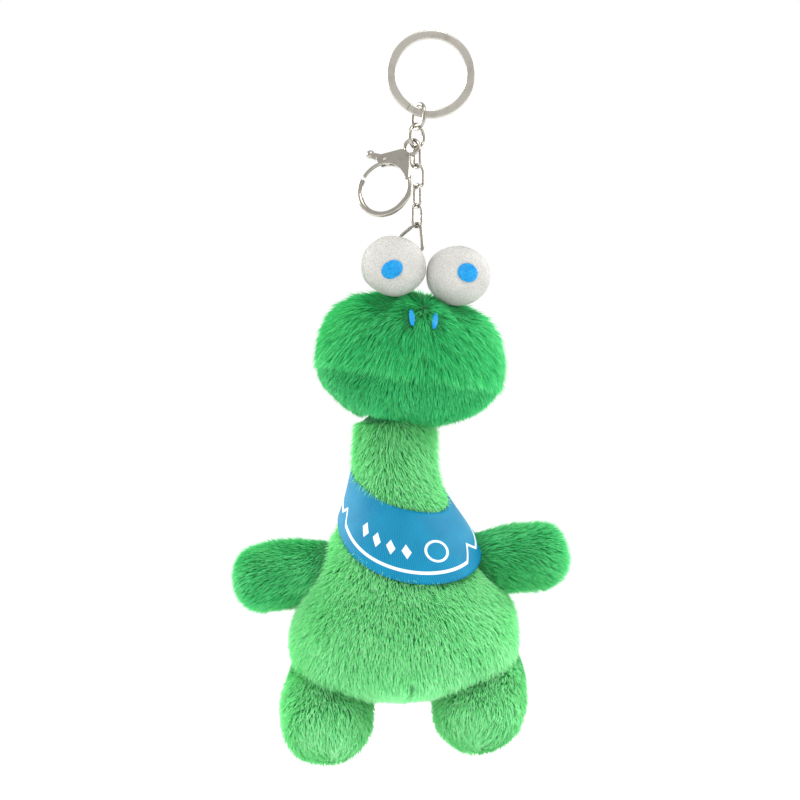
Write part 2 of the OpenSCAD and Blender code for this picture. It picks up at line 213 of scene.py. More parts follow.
def key_ring_path():
    """Two turns; the strip steps back by one thickness over a short arc of each end."""
    start, turns, steps = 236.0, 708.0, 420
    path = []
    for i in range(steps + 1):
        angle = start + turns * i / steps
        t = min(1.0, max(0.0, (turns * i / steps - 332) / 44))
        level = t * t * (3 - 2 * t) - 0.5
        radius = RING_RADIUS - 0.05 * MM * math.sin(math.radians(angle * 2))
        a = math.radians(angle)
        path.append(RING_MIDDLE + Vector((radius * math.cos(a), level * TURN_APART, radius * math.sin(a))))
    return path


ring = mesh_piece("key_ring_coil",
                  *sweep(key_ring_path(), Vector((0, 1, 0)), rounded(STRIP_WIDE, STRIP_THICK, 0.34 * MM), False),
                  BRUSHED)
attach(ring, "key_ring")
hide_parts("split_key_ring")


# ==== Links and jump ring ====================================================================
# Round nickel-plated wire bent into stadium links, each with the butt of its wire in one side.
# The jump ring is a plain circle that carries the clasp and the chain.

def circle(radius, steps=14):
    return [(radius * math.cos(2 * math.pi * i / steps), radius * math.sin(2 * math.pi * i / steps))
            for i in range(steps)]


def stadium(length, width, wire, arc=22, straight=8):
    """Middle line of a link that hangs from the middle of its upper wire, in its XZ plane."""
    r, low = (width - wire) / 2, -(length - wire)
    out = []
    for i in range(arc + 1):
        a = math.pi * i / arc
        out.append(Vector((r * math.cos(a), 0, -r + r * math.sin(a))))
    for i in range(1, straight):
        out.append(Vector((-r, 0, -r + (low + 2 * r) * i / straight)))
    for i in range(arc + 1):
        a = math.pi * (1 + i / arc)
        out.append(Vector((r * math.cos(a), 0, low + r + r * math.sin(a))))
    for i in range(1, straight):
        out.append(Vector((r, 0, low + r - (low + 2 * r) * i / straight)))
    return out


def wire_piece(name, body, node, local, wire, place, butt):
    """A closed wire with the fine groove where its two ends meet, at the share butt of its path."""
    path = [place @ p for p in local]
    facing = (place.to_3x3() @ Vector((0, 1, 0))).normalized()
    points, faces = sweep(path, facing, circle(wire / 2), True)
    around, at = len(points) // len(path), int(butt * len(path))
    for k in range(around):
        i = at * around + k
        points[i] = path[at] + (points[i] - path[at]) * 0.8
    made = mesh_piece(name, points, faces, NICKEL)
    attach(made, body)
    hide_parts(node)
    return made


def turned(at, lean_y=0.0, turn_z=0.0):
    """Placed at a point, leant about Y, then turned about its own Z (degrees)."""
    return (Matrix.Translation(at) @ Matrix.Rotation(math.radians(lean_y), 4, "Y")
            @ Matrix.Rotation(math.radians(turn_z), 4, "Z"))


LINE_X = -4.809 * MM
wire_piece("top_link_wire", "top_link", "top_link", stadium(10 * MM, 9.4 * MM, 1.3 * MM), 1.3 * MM,
           turned(Vector((-3.749 * MM, 0, -22.229 * MM)), 7, -62), 0.46)
JUMP_RADIUS = 4.1 * MM
jump_line = [Vector((JUMP_RADIUS * math.cos(a), 0, JUMP_RADIUS * math.sin(a)))
             for a in (2 * math.pi * i / 64 for i in range(64))]
wire_piece("jump_ring_wire", "jump_ring", "jump_ring", jump_line, 1.4 * MM,
           turned(Vector((LINE_X, 0, -33.464 * MM)), 0, 55), 0.04)
LINKS = ((-36.214, 115, 0.2), (-42.964, 28, 0.7), (-49.714, 116, 0.45), (-56.464, 50, 0.95))
for number, (top, yaw, butt) in enumerate(LINKS, 1):
    wire_piece(f"chain_link_{number}_wire", f"chain_link_{number}", f"chain_link_{number}",
               stadium(8.9 * MM, 5.6 * MM, 1.0 * MM), 1.0 * MM,
               turned(Vector((LINE_X, 0, top * MM)), 0, yaw), butt)


# ==== Triangle ring ==========================================================================
# The lowest piece of hardware: round wire bent to a triangle, apex up in the last link, the
# woven strap around its base bar. Its ends butt in the left side.

def rounded_triangle(side, bend, arc=8, straight=10):
    """Middle line of the wire, the centre of its top bend at the origin, anticlockwise."""
    top = 2 * bend
    low = top - side * math.cos(math.radians(30))
    corners = [Vector((0, 0, top)), Vector((-side / 2, 0, low)), Vector((side / 2, 0, low))]
    out = []
    for i, corner in enumerate(corners):
        into = (corner - corners[i - 1]).normalized()
        away = (corners[(i + 1) % 3] - corner).normalized()
        cut = bend * math.tan(math.radians(60))
        left = Vector((-into.z, 0, into.x))
        middle = corner - into * cut + left * bend
        for k in range(arc + 1):
            a = math.radians(120) * k / arc
            out.append(middle + (-left * math.cos(a) + into * math.sin(a)) * bend)
        first, last = corner + away * cut, corners[(i + 1) % 3] - away * cut
        out += [first.lerp(last, k / straight) for k in range(1, straight)]
    return out


TRI_PLACE = (Matrix.Translation(Vector((LINE_X, 0, -64.514 * MM))) @ Matrix.Rotation(math.radians(-25), 4, "Z")
             @ Matrix.Rotation(math.radians(24), 4, "Y"))
wire_piece("triangle_wire", "triangle_ring", "triangle_ring", rounded_triangle(11.5 * MM, 1.4 * MM), 1.2 * MM,
           TRI_PLACE, 0.2)


# ==== Clasp ==================================================================================
# A cast and plated lobster clasp. The body, hook and lever keep the designed form, with the
# cast edges softened; a turned pin and a small coil spring show in the lever's slot.

def cast(name, node, body, voxel, passes):
    """A softened copy of a CAD node, as a cast and tumbled part."""
    work = bmesh.new()
    work.from_mesh(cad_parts[node].data)
    bmesh.ops.remove_doubles(work, verts=work.verts, dist=0.002 * MM)
    mesh = bpy.data.meshes.new(name)
    work.to_mesh(mesh)
    work.free()
    made = bpy.data.objects.new(name, mesh)
    bpy.context.scene.collection.objects.link(made)
    # the remesh works on a copy a thousand times larger, then the result is shrunk back
    mesh.transform(Matrix.Scale(1000, 4))
    remesh = made.modifiers.new("cast", "REMESH")
    remesh.mode, remesh.voxel_size = "VOXEL", voxel
    soften = made.modifiers.new("tumbled", "SMOOTH")
    soften.factor, soften.iterations = 0.5, passes
    settle(made)
    made.data.transform(Matrix.Scale(0.001, 4))
    made.data.materials.clear()
    made.data.materials.append(NICKEL)
    made.data.polygons.foreach_set("use_smooth", [True] * len(made.data.polygons))
    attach(made, body)
    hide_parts(node)
    return made


def settle(piece):
    """Applies a piece's modifiers."""
    bpy.context.view_layer.update()
    graph = bpy.context.evaluated_depsgraph_get()
    mesh = bpy.data.meshes.new_from_object(piece.evaluated_get(graph), depsgraph=graph)
    piece.modifiers.clear()
    old, piece.data = piece.data, mesh
    bpy.data.meshes.remove(old)
    return piece


cast("clasp_casting", "clasp_body", "clasp", 0.16, 3)
cast("clasp_thumb_lever", "clasp_lever", "clasp_lever", 0.14, 2)

CLASP_PLACE = (Matrix.Translation(Vector((-6.729, -2.159, -37.234)) * MM)
               @ Matrix.Rotation(math.radians(33), 4, "Y") @ Matrix.Rotation(math.radians(-30), 4, "Z"))


def turned_pin():
    """A rivet with slightly domed ends, across the clasp's head."""
    profile = ((0.0, -1.84), (0.42, -1.8), (0.58, -1.66), (0.58, 1.66), (0.42, 1.8), (0.0, 1.84))
    around = 20
    points, faces = [], []
    for radius, y in profile[1:-1]:
        for k in range(around):
            a = 2 * math.pi * k / around
            points.append(Vector((radius * math.cos(a) - 5.358, y, radius * math.sin(a) - 8.005)) * MM)
    rows = len(profile) - 2
    for i in range(rows - 1):
        for k in range(around):
            m = (k + 1) % around
            faces.append((i * around + k, i * around + m, (i + 1) * around + m, (i + 1) * around + k))
    faces.append(tuple(range(around))[::-1])
    faces.append(tuple(range((rows - 1) * around, rows * around)))
    return [CLASP_PLACE @ p for p in points], faces


pin = mesh_piece("clasp_rivet", *turned_pin(), BRUSHED)
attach(pin, "clasp")
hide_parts("clasp_pin")


def coil_spring():
    """Fine wire wound four times, between the lever and the back of its slot."""
    turns, steps, radius, long, wire = 4, 96, 0.45 * MM, 1.5 * MM, 0.09 * MM
    start = Vector((-5.358 + 1.9, 0, -8.005 + 0.35)) * MM
    path = []
    for i in range(steps + 1):
        a = 2 * math.pi * turns * i / steps
        path.append(CLASP_PLACE @ (start + Vector((long * i / steps, radius * math.cos(a), radius * math.sin(a)))))
    return sweep(path, (CLASP_PLACE.to_3x3() @ Vector((1, 0, 0))).normalized(), circle(wire, 8), False)


SPRING_STEEL = plated_steel("spring_wire", (170, 166, 160), 0.3, 0.1)
spring = mesh_piece("clasp_coil_spring", *coil_spring(), SPRING_STEEL)
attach(spring, "clasp")
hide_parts("clasp_spring")


# ==== Anchor strap ===========================================================================
# A loop of woven tape around the triangle's base bar, both ends sewn into the top of the head.
# Swept as one flat strip with rounded edges; the weave is in the material.

def woven_tape(name, colour, dark):
    s = Shader(name, Sheen_Weight=0.3)
    x, y, z = s.split(s.place())
    along = s.node("ShaderNodeMath", {0: z * 9000.0}, operation="SINE")
    across = s.node("ShaderNodeMath", {0: x * 11000.0}, operation="SINE")
    weave = (along * across) * 0.5 + 0.5
    cloud = s.noise(s.place(), 400.0)
    s.feed(Base_Color=s.mix((weave * 0.6 + cloud * 0.5).clamped(), linear(dark), linear(colour)),
           Roughness=weave * 0.15 + 0.6)
    return s.bump(weave, 0.12 * MM, 0.8).material


STRAP_LONG = 19 * MM
BAR_RADIUS = 1.25 * MM


def strap_path():
    """Up one side, over the bar and down the other, in the strap's own frame."""
    out = [Vector((0, BAR_RADIUS, -STRAP_LONG * (1 - i / 14))) for i in range(14)]
    for i in range(17):
        a = math.pi * i / 16
        out.append(Vector((0, BAR_RADIUS * math.cos(a), BAR_RADIUS * math.sin(a))))
    out += [Vector((0, -BAR_RADIUS, -STRAP_LONG * (i + 1) / 14)) for i in range(14)]
    return out


STRAP_PLACE = (Matrix.Translation(Vector((-6.455, 0.767, -71.543)) * MM) @ Matrix.Rotation(math.radians(-25), 4, "Z")
               @ Matrix.Rotation(math.radians(24), 4, "Y"))
strap = mesh_piece("strap_tape",
                   *sweep([STRAP_PLACE @ p for p in strap_path()],
                          (STRAP_PLACE.to_3x3() @ Vector((1, 0, 0))).normalized(),
                          rounded(0.6 * MM, 4.0 * MM, 0.28 * MM), False),
                   woven_tape("strap_weave", (70, 176, 108), (30, 110, 62)))
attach(strap, "head")
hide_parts("anchor_strap")


# ==== Head: stuffed skin =====================================================================
# The backing cloth of the pile, stuffed tight: broad and flat below, pinched along the mouth
# seam between crown and chin. Remeshed evenly, inflated as cloth with the seam held, smoothed.

HEAD_PLACE = (Matrix.Translation(Vector((-7.225, 0, -109.393)) * MM)
              @ Matrix.Rotation(math.radians(8), 4, "Y") @ Matrix.Rotation(math.radians(8), 4, "Z"))


def cut_skin(name, form, place, voxel, colour):
    """A closed skin: form turns a direction into a point in millimetres in the piece's frame."""
    work = bmesh.new()
    bmesh.ops.create_icosphere(work, subdivisions=5, radius=1.0)
    for v in work.verts:
        v.co = form(v.co.normalized())
    mesh = bpy.data.meshes.new(name)
    work.to_mesh(mesh)
    work.free()
    made = bpy.data.objects.new(name, mesh)
    bpy.context.scene.collection.objects.link(made)
    remesh = made.modifiers.new("even", "REMESH")
    remesh.mode, remesh.voxel_size = "VOXEL", voxel
    settle(made)
    made.data.transform(place @ Matrix.Scale(MM, 4))
    made.data.materials.clear()
    made.data.materials.append(backing_cloth(name + "_cloth", colour))
    return made


def backing_cloth(name, colour):
    """Knitted backing seen between the pile's roots."""
    s = Shader(name, Roughness=0.9)
    cloud = s.noise(s.place(), 1800.0)
    s.feed(Base_Color=s.mix(cloud, linear([c * 0.6 for c in colour]), linear(colour)))
    return s.bump(cloud, 0.1 * MM, 0.5).material


def stuff(piece, held, pressure=4.0, most=1.6 * MM):
    """Fills a skin: it swells as cloth while the seams hold, and moves no further than most."""
    scene, mesh = bpy.context.scene, piece.data
    start = [v.co.copy() for v in mesh.vertices]
    group = piece.vertex_groups.new(name="seams")
    for v in mesh.vertices:
        if held(v.co):
            group.add([v.index], 1.0, "REPLACE")
    mesh.transform(Matrix.Scale(10, 4))
    cloth = piece.modifiers.new("stuffing", "CLOTH")
    cloth.settings.quality = 5
    cloth.settings.mass = 0.2
    cloth.settings.tension_stiffness = cloth.settings.compression_stiffness = 12
    cloth.settings.bending_stiffness = 0.4
    cloth.settings.use_pressure = True
    cloth.settings.uniform_pressure_force = pressure
    cloth.settings.vertex_group_mass = "seams"
    cloth.settings.effector_weights.gravity = 0
    cloth.point_cache.frame_start, cloth.point_cache.frame_end = 1, 20
    for number in range(1, 21):
        scene.frame_set(number)
    settle(piece)
    piece.data.transform(Matrix.Scale(0.1, 4))
    scene.frame_set(1)
    for v, before in zip(piece.data.vertices, start):
        move = v.co - before
        if move.length > most:
            v.co = before + move * (most / move.length)
    smooth = piece.modifiers.new("smooth", "SUBSURF")
    smooth.levels = smooth.render_levels = 1
    settle(piece)
    piece.data.polygons.foreach_set("use_smooth", [True] * len(piece.data.polygons))
    return piece


def lumpy(point, seed, size, amount):
    """Uneven filling: how far the skin stands out at a point, in millimetres."""
    return noise.noise(point / size + Vector((seed, seed * 2, 0))) * amount


MOUTH = -4.0


def head_skin_form(u):
    half = (30.2, 20.8, 20.8)
    power = 2.4
    reach = sum(abs(u[i] / half[i]) ** power for i in range(3)) ** (-1 / power)
    p = u * reach
    pinch = math.exp(-((p.z - MOUTH) / 1.6) ** 2) * 0.3
    return p + u * (lumpy(p, 3, 13, 1.3) - pinch)


head_skin = cut_skin("head_skin", head_skin_form, HEAD_PLACE, 1.5, (44, 130, 72))
HEAD_INWARD = HEAD_PLACE.inverted()
stuff(head_skin, lambda co: abs((HEAD_INWARD @ co).z / MM - MOUTH) < 0.8)
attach(head_skin, "head")
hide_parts("head_stuffing")


# ==== Head: pile =============================================================================
# Long plush pile, combed away from the nose, over the crown and the chin. Each fibre is a
# closed tapered spike that leans with the nap and gathers into locks.

class Grower(Nodes):
    """A geometry node group whose named inputs come first as values."""

    def __init__(self, name, sockets):
        self.tree = bpy.data.node_groups.new(name, "GeometryNodeTree")
        self.keys = {}
        for label, kind in [("Geometry", "Geometry"), *sockets]:
            socket = self.tree.interface.new_socket(name=label, in_out="INPUT", socket_type="NodeSocket" + kind)
            self.keys[label] = socket.identifier
        self.tree.interface.new_socket(name="Geometry", in_out="OUTPUT", socket_type="NodeSocketGeometry")
        entry = self.tree.nodes.new("NodeGroupInput")
        self.given = {label: Value(self, entry.outputs[label]) for label, _ in [("Geometry", 0), *sockets]}

    def finish(self, geometry):
        leave = self.tree.nodes.new("NodeGroupOutput")
        self.tree.links.new(geometry.socket, leave.inputs[0])

    def chance(self, low, high, seed):
        inputs = {2: low, 3: high, 8: seed}
        return self.node("FunctionNodeRandomValue", inputs, 1, data_type="FLOAT")

    def made_from(self, source, name, **values):
        """A plain mesh object: the group run on source's mesh with these inputs."""
        work = bpy.data.objects.new(name, source.data)
        bpy.context.scene.collection.objects.link(work)
        modifier = work.modifiers.new(name, "NODES")
        modifier.node_group = self.tree
        for label, value in values.items():
            modifier[self.keys[label.replace("_", " ")]] = value
        work.update_tag()
        bpy.context.view_layer.update()
        graph = bpy.context.evaluated_depsgraph_get()
        mesh = bpy.data.meshes.new_from_object(work.evaluated_get(graph), depsgraph=graph)
        work.modifiers.clear()
        work.data = mesh
        return work


def pile_group():
    g = Grower("pile", [
        ("Share", "String"), ("Density", "Float"), ("Length", "Float"), ("Width", "Float"),
        ("Lay", "Float"), ("Whorl", "Vector"), ("Pull", "Vector"), ("Lock Size", "Float"),
        ("Locking", "Float"), ("Jitter", "Float"), ("Seed", "Int"), ("Material", "Material")])
    i = g.given
    share = g.node("GeometryNodeInputNamedAttribute", {"Name": i["Share"]}, data_type="FLOAT")
    spots = g.tree.nodes.new("GeometryNodeDistributePointsOnFaces")
    spots.distribute_method = "RANDOM"
    g.tree.links.new(i["Geometry"].socket, spots.inputs["Mesh"])
    wanted = i["Density"] * share.above(0.02, 0.2)
    g.tree.links.new(wanted.socket, spots.inputs["Density"])
    g.tree.links.new(i["Seed"].socket, spots.inputs["Seed"])
    points, normal = Value(g, spots.outputs["Points"]), Value(g, spots.outputs["Normal"])

    here = g.node("GeometryNodeInputPosition")
    away = g.vector("NORMALIZE", g.vector("SUBTRACT", here, i["Whorl"]))
    eddy = g.vector("SCALE", g.vector("SUBTRACT", g.noise(here, 55.0, 1.0, out=1), (0.5, 0.5, 0.5)), 1.6)
    flow = g.vector("ADD", g.vector("ADD", away, i["Pull"]), eddy)
    lift = g.vector("DOT_PRODUCT", flow, normal, out=1)
    nap = g.vector("NORMALIZE", g.vector("SUBTRACT", flow, g.vector("SCALE", normal, lift)))

    size = i["Lock Size"]
    locks = g.node("ShaderNodeTexVoronoi", {"Vector": here, "Scale": 1.0 / size, "Randomness": 1.0}, 2)
    toward = g.vector("SCALE", g.vector("SUBTRACT", locks, here), i["Locking"] / size)
    stray = g.node("FunctionNodeRandomValue", {0: (-1, -1, -1), 1: (1, 1, 1), 8: 7}, data_type="FLOAT_VECTOR")
    lean = g.vector("ADD", g.vector("SCALE", normal, 1.0 - i["Lay"]), g.vector("SCALE", nap, i["Lay"]))
    grain = g.vector("ADD", g.vector("ADD", lean, toward), g.vector("SCALE", stray, i["Jitter"]))
    upright = g.node("FunctionNodeAlignRotationToVector", {"Vector": grain}, axis="Z")
    facing = g.node("FunctionNodeAlignRotationToVector", {"Rotation": upright, "Vector": nap},
                    axis="Y", pivot_axis="Z")

    spike = g.node("GeometryNodeMeshCone", {"Vertices": 3, "Side Segments": 2, "Radius Top": 0.0,
                                            "Radius Bottom": 1.0, "Depth": 1.0}, fill_type="NGON")
    x, y, height = g.split(here)
    fibre = g.node("GeometryNodeStoreNamedAttribute", {"Geometry": spike, "Name": "along", "Value": height},
                   data_type="FLOAT", domain="POINT")
    slim = i["Width"] / i["Length"] * (height * 1.1 * (1.0 - height) + 1.0)
    curl = height * height * 0.28
    bent = g.node("ShaderNodeCombineXYZ", {0: x * slim, 1: y * slim + curl, 2: height})
    fibre = g.node("GeometryNodeSetPosition", {"Geometry": fibre, "Position": bent})

    reach = i["Length"] * share * g.chance(0.72, 1.08, 11)
    grown = g.node("GeometryNodeInstanceOnPoints", {"Points": points, "Instance": fibre,
                                                    "Rotation": facing, "Scale": reach})
    grown = g.node("GeometryNodeStoreNamedAttribute", {"Geometry": grown, "Name": "tone",
                                                       "Value": g.chance(0.0, 1.0, 23)},
                   data_type="FLOAT", domain="INSTANCE")
    mesh = g.node("GeometryNodeRealizeInstances", {"Geometry": grown})
    g.finish(g.node("GeometryNodeSetMaterial", {"Geometry": mesh, "Material": i["Material"]}))
    return g


PILE = pile_group()


def pile_fibre(name, root, middle, tip):
    """Fibre colour: darker towards the root as painted shade deep in the pile, lighter at the tip, each fibre and
    each patch its own tone.
    """
    s = Shader(name, Roughness=0.62, Sheen_Weight=0.12, Sheen_Roughness=0.4, Specular_IOR_Level=0.25)
    along, tone = s.attribute("along"), s.attribute("tone")
    patch = s.noise(s.place(), 70.0, 2.0)
    light = (along + (tone - 0.5) * 0.35 + (patch - 0.5) * 0.5).clamped()
    # root to middle along each fibre: the darker root is painted shade deep in the pile; tone and patch are random
    # tone
    low = s.mix(light.above(0.0, 0.55), linear(root), linear(middle))
    return s.feed(Base_Color=s.mix(light.above(0.5, 1.1), low, linear(tip))).material


def share_of(skin, name, rule):
    """Stores how long the pile is at each point of a skin, as a share of the full length."""
    attribute = skin.data.attributes.new(name, "FLOAT", "POINT")
    attribute.data.foreach_set("value", [rule(v.co) for v in skin.data.vertices])


def smooth(value, low, high):
    t = min(1.0, max(0.0, (value - low) / (high - low)))
    return t * t * (3 - 2 * t)


EYE_MIDDLE = Vector((11.05, -9.2, 30.2))
EYE_HALF = Vector((10.8, 9.0, 10.3))
NOSTRIL_AT = Vector((3.9, -20.5, 13.5))


def head_share(p):
    """In the head's frame, millimetres: short under the eyes, around the nostrils, and none in the neck."""
    out = 1.0
    for side in (-1, 1):
        eye = Vector((side * EYE_MIDDLE.x, EYE_MIDDLE.y, EYE_MIDDLE.z))
        out = min(out, 0.45 + 0.55 * smooth((Vector((p.x, p.y)) - Vector((eye.x, eye.y))).length, 4.5, 7.5)
                  if p.z > 10 else 1.0)
        if p.y < 0:
            near = math.hypot(p.x - side * NOSTRIL_AT.x, (p.z - NOSTRIL_AT.z) * 0.6)
            out = min(out, 0.4 + 0.6 * smooth(near, 1.2, 3.0))
    neck = math.hypot(p.x + 3.5, (p.y - 2) * 1.25)
    if p.z < -10:
        out *= smooth(neck, 9.0, 12.0)
    return out


def crown_share(co):
    p = HEAD_INWARD @ co / MM
    overhang = 1 + 0.15 * math.exp(-((p.z - MOUTH - 1.5) / 2.5) ** 2)
    return head_share(p) * overhang * smooth(p.z, MOUTH - 0.3, MOUTH + 0.4)


def chin_share(co):
    p = HEAD_INWARD @ co / MM
    return head_share(p) * smooth(-p.z, -MOUTH - 0.3, -MOUTH + 0.8)


share_of(head_skin, "crown", crown_share)
share_of(head_skin, "chin", chin_share)
HEAD_FIBRE = pile_fibre("head_fibre", (10, 122, 54), (38, 190, 104), (104, 232, 146))
WHORL = HEAD_PLACE @ (Vector((0, -14, 20)) * MM)
# the chin's pile is a darker copy of the crown's green: painted shade under the head
SHADED_CHIN_FIBRE = pile_fibre("chin_fibre_painted_shade", (8, 110, 50), (32, 174, 95), (90, 220, 136))
for part, node, long, fibre in (("crown", "head_crown_cover", 5.4, HEAD_FIBRE),
                                ("chin", "head_chin_cover", 3.8, SHADED_CHIN_FIBRE)):
    pile = PILE.made_from(head_skin, f"head_{part}_pile", Share=part, Density=6.4e6, Length=long * MM,
                          Width=0.15 * MM, Lay=0.58, Whorl=WHORL, Pull=(0.0, 0.0, -0.45), Lock_Size=2.0 * MM,
                          Locking=0.16, Jitter=0.17, Seed=4, Material=fibre)
    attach(pile, "head")
    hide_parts(node)


# ==== Eyes ===================================================================================
# Two stuffed balls of short white plush, each of two panels sewn down its sides. Inflated
# cloth with a fine, nearly upright nap.

WHITE_FIBRE = pile_fibre("eye_fibre", (206, 205, 201), (214, 213, 209), (220, 219, 216))


def eye_form_of(side):
    def form(u):
        p = Vector((u.x * (EYE_HALF.x + 0.25), u.y * (EYE_HALF.y - 0.3), u.z * (EYE_HALF.z - 0.1)))
        pinch = math.exp(-(p.y / 0.9) ** 2) * 0.35
        return p + u * (lumpy(p, 7 + side, 6, 0.5) - pinch)
    return form


def eye_place(side):
    return HEAD_PLACE @ Matrix.Translation(Vector((side * EYE_MIDDLE.x, EYE_MIDDLE.y, EYE_MIDDLE.z)) * MM)


for side, word in ((-1, "right"), (1, "left")):
    place = eye_place(side)
    inward = place.inverted()
    skin = cut_skin(f"{word}_eye_skin", eye_form_of(side), place, 0.9, (226, 224, 218))
    stuff(skin, lambda co: abs((inward @ co).y / MM) < 0.5, most=0.5 * MM)
    share_of(skin, "nap", lambda co: 1.0)
    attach(skin, "head")
    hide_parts(f"{word}_eye_stuffing")
    pile = PILE.made_from(skin, f"{word}_eye_pile", Share="nap", Density=1.2e7, Length=0.5 * MM,
                          Width=0.2 * MM, Lay=0.84, Whorl=place @ Vector((0, -0.009, 0.002)),
                          Pull=(0.0, 0.0, -0.2), Lock_Size=1.2 * MM, Locking=0.03, Jitter=0.07, Seed=9,
                          Material=WHITE_FIBRE)
    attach(pile, "head")
    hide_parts(f"{word}_eye_cover")


# ==== Pupils and nostrils ====================================================================
# Blue satin stitch: parallel threads laid side by side over a low pad, each a fine twisted
# thread that dives into the pile at both ends. Threads are swept by the stitch group.

def stitch_group():
    g = Grower("stitch", [("Thread", "Float"), ("Material", "Material")])
    line = g.node("GeometryNodeMeshToCurve", {"Mesh": g.given["Geometry"]})
    ring = g.node("GeometryNodeCurvePrimitiveCircle", {"Resolution": 7, "Radius": g.given["Thread"]})
    tube = g.node("GeometryNodeCurveToMesh", {"Curve": line, "Profile Curve": ring, "Fill Caps": True})
    tube = g.node("GeometryNodeSetShadeSmooth", {"Geometry": tube})
    g.finish(g.node("GeometryNodeSetMaterial", {"Geometry": tube, "Material": g.given["Material"]}))
    return g


STITCH = stitch_group()


def thread_material(name, colour, dark):
    """Glossy filament with a fine twist along each thread."""
    s = Shader(name, Roughness=0.36, Coat_Weight=0.08, Coat_Roughness=0.3, Specular_IOR_Level=0.3)
    twist = s.noise(s.place(), 5200.0, 1.0)
    fleck = s.noise(s.place(), 900.0, 1.0)
    s.feed(Base_Color=s.mix((twist * 0.7 + fleck * 0.5).above(0.3, 0.85), linear(dark), linear(colour)))
    return s.bump(twist, 0.05 * MM, 0.6).material


THREAD = thread_material("blue_satin", (14, 168, 228), (0, 112, 186))


def satin(name, body, node, place, centre, half, tilt, seat, dome, pitch=0.27):
    """Threads across an oval at centre (x, z in millimetres in place's frame), its long axis tilted.

    seat(x, z) gives the surface's y below a thread, and dome how far the middle stands out.
    """
    points, edges = [], []
    cos_t, sin_t = math.cos(math.radians(tilt)), math.sin(math.radians(tilt))
    rows = int(2 * half[1] / pitch)
    for row in range(rows + 1):
        v = -half[1] + 2 * half[1] * (row + 0.5) / (rows + 1)
        wobble = 0.06 * math.sin(row * 2.4)
        reach = half[0] * math.sqrt(max(0.0, 1 - (v / half[1]) ** 2)) + 0.12 + wobble
        for k in range(13):
            t = -1 + k / 6
            a, b = reach * t, v + 0.05 * math.sin(row * 1.7)
            x, z = centre[0] + a * cos_t - b * sin_t, centre[1] + a * sin_t + b * cos_t
            rise = dome * math.sqrt(max(0.0, 1 - t * t * 0.98)) * math.sqrt(max(0.0, 1 - (v / half[1]) ** 2 * 0.75))
            points.append(place @ (Vector((x, seat(x, z) - rise, z)) * MM))
            if k:
                edges.append((len(points) - 2, len(points) - 1))
    mesh = bpy.data.meshes.new(name + "_path")
    mesh.from_pydata([tuple(p) for p in points], edges, [])
    source = bpy.data.objects.new(name + "_path", mesh)
    made = STITCH.made_from(source, name, Thread=pitch * 0.62 * MM, Material=THREAD)
    bpy.data.objects.remove(source)
    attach(made, body)
    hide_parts(node)
    return made


def on_ball(half, sunk):
    """How far in front an ellipsoid's surface lies at x, z, pressed in by sunk."""
    def seat(x, z):
        return -(half[1] - sunk) * math.sqrt(max(0.05, 1 - (x / half[0]) ** 2 - (z / half[2]) ** 2))
    return seat


EYE_SEAT = on_ball(EYE_HALF, 0.25)
satin("right_pupil_stitches", "head", "right_pupil", eye_place(-1), (-1.6, -1.6), (3.5, 2.9), 38, EYE_SEAT, 0.75)
satin("left_pupil_stitches", "head", "left_pupil", eye_place(1), (1.8, 1.0), (3.4, 3.1), -12, EYE_SEAT, 0.75)
HEAD_SEAT = on_ball((34, 25, 24), 2.3)
for side, word, slant in ((-1, "right", 8), (1, "left", -6)):
    satin(f"{word}_nostril_stitches", "head", f"{word}_nostril", HEAD_PLACE,
          (side * NOSTRIL_AT.x, NOSTRIL_AT.z), (2.6, 0.95), 90 + slant, HEAD_SEAT, 0.6)


# ==== Body: stuffed skin =====================================================================
# Neck, chest and a broad flat-bottomed belly in one bag, flattened front to back, with a seam
# down each side. Remeshed evenly and inflated as cloth with the seams held.

BODY_PLACE = (Matrix.Translation(Vector((-12.425, 2.0, -134.193)) * MM)
              @ Matrix.Rotation(math.radians(-2.6), 4, "Y"))
BODY_FLAT = 0.78
PILE_STANDS = 3.0
# height below the neck joint and radius over the pile's tips
BODY_PROFILE = ((12, 3), (9, 11), (4, 15.4), (-6, 16.3), (-16, 16.3), (-23, 17.8), (-30, 21.4), (-38.5, 27),
                (-47, 31.8), (-56, 36.6), (-64, 40), (-72, 40.8), (-79, 39.8), (-85, 36.5), (-90, 29), (-93.6, 16),
                (-94.6, 3))


def body_radius(z):
    """Radius of the body over the pile at height z, smooth between the profile's points."""
    for (z0, r0), (z1, r1) in zip(BODY_PROFILE, BODY_PROFILE[1:]):
        if z >= z1:
            t = min(1.0, max(0.0, (z0 - z) / (z0 - z1)))
            return r0 + (r1 - r0) * t
    return BODY_PROFILE[-1][1]


def eased_radius(z):
    return sum(body_radius(z + d) for d in (-3.5, -1.8, 0, 1.8, 3.5)) / 5


def body_skin_form(u):
    top, low = 11.0, -91.0
    t = math.acos(max(-1.0, min(1.0, u.z))) / math.pi
    z = top + (low - top) * t
    flat = math.hypot(u.x, u.y) or 1e-6
    ends = smooth(t, 0, 0.07) * smooth(1 - t, 0, 0.07)
    r = max(0.5, eased_radius(z) - PILE_STANDS) * (0.02 + 0.98 * math.sqrt(ends))
    p = Vector((u.x / flat * r, u.y / flat * r * BODY_FLAT, z))
    seam = math.exp(-(p.y / 1.6) ** 2) * 0.7
    return p + Vector((u.x, u.y, 0)) * (lumpy(p, 11, 17, 1.6) - seam)


body_skin = cut_skin("body_skin", body_skin_form, BODY_PLACE, 1.7, (54, 150, 88))
BODY_INWARD = BODY_PLACE.inverted()
stuff(body_skin, lambda co: abs((BODY_INWARD @ co).y / MM) < 0.9)
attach(body_skin, "torso")
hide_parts("body_stuffing")


# ==== Scarf ==================================================================================
# A ribbed satin ribbon sewn round the neck, deepest in front, with a white printed line along
# its lower edge and a plain printed row of lozenges and a ring. Cut as a band and folded over.

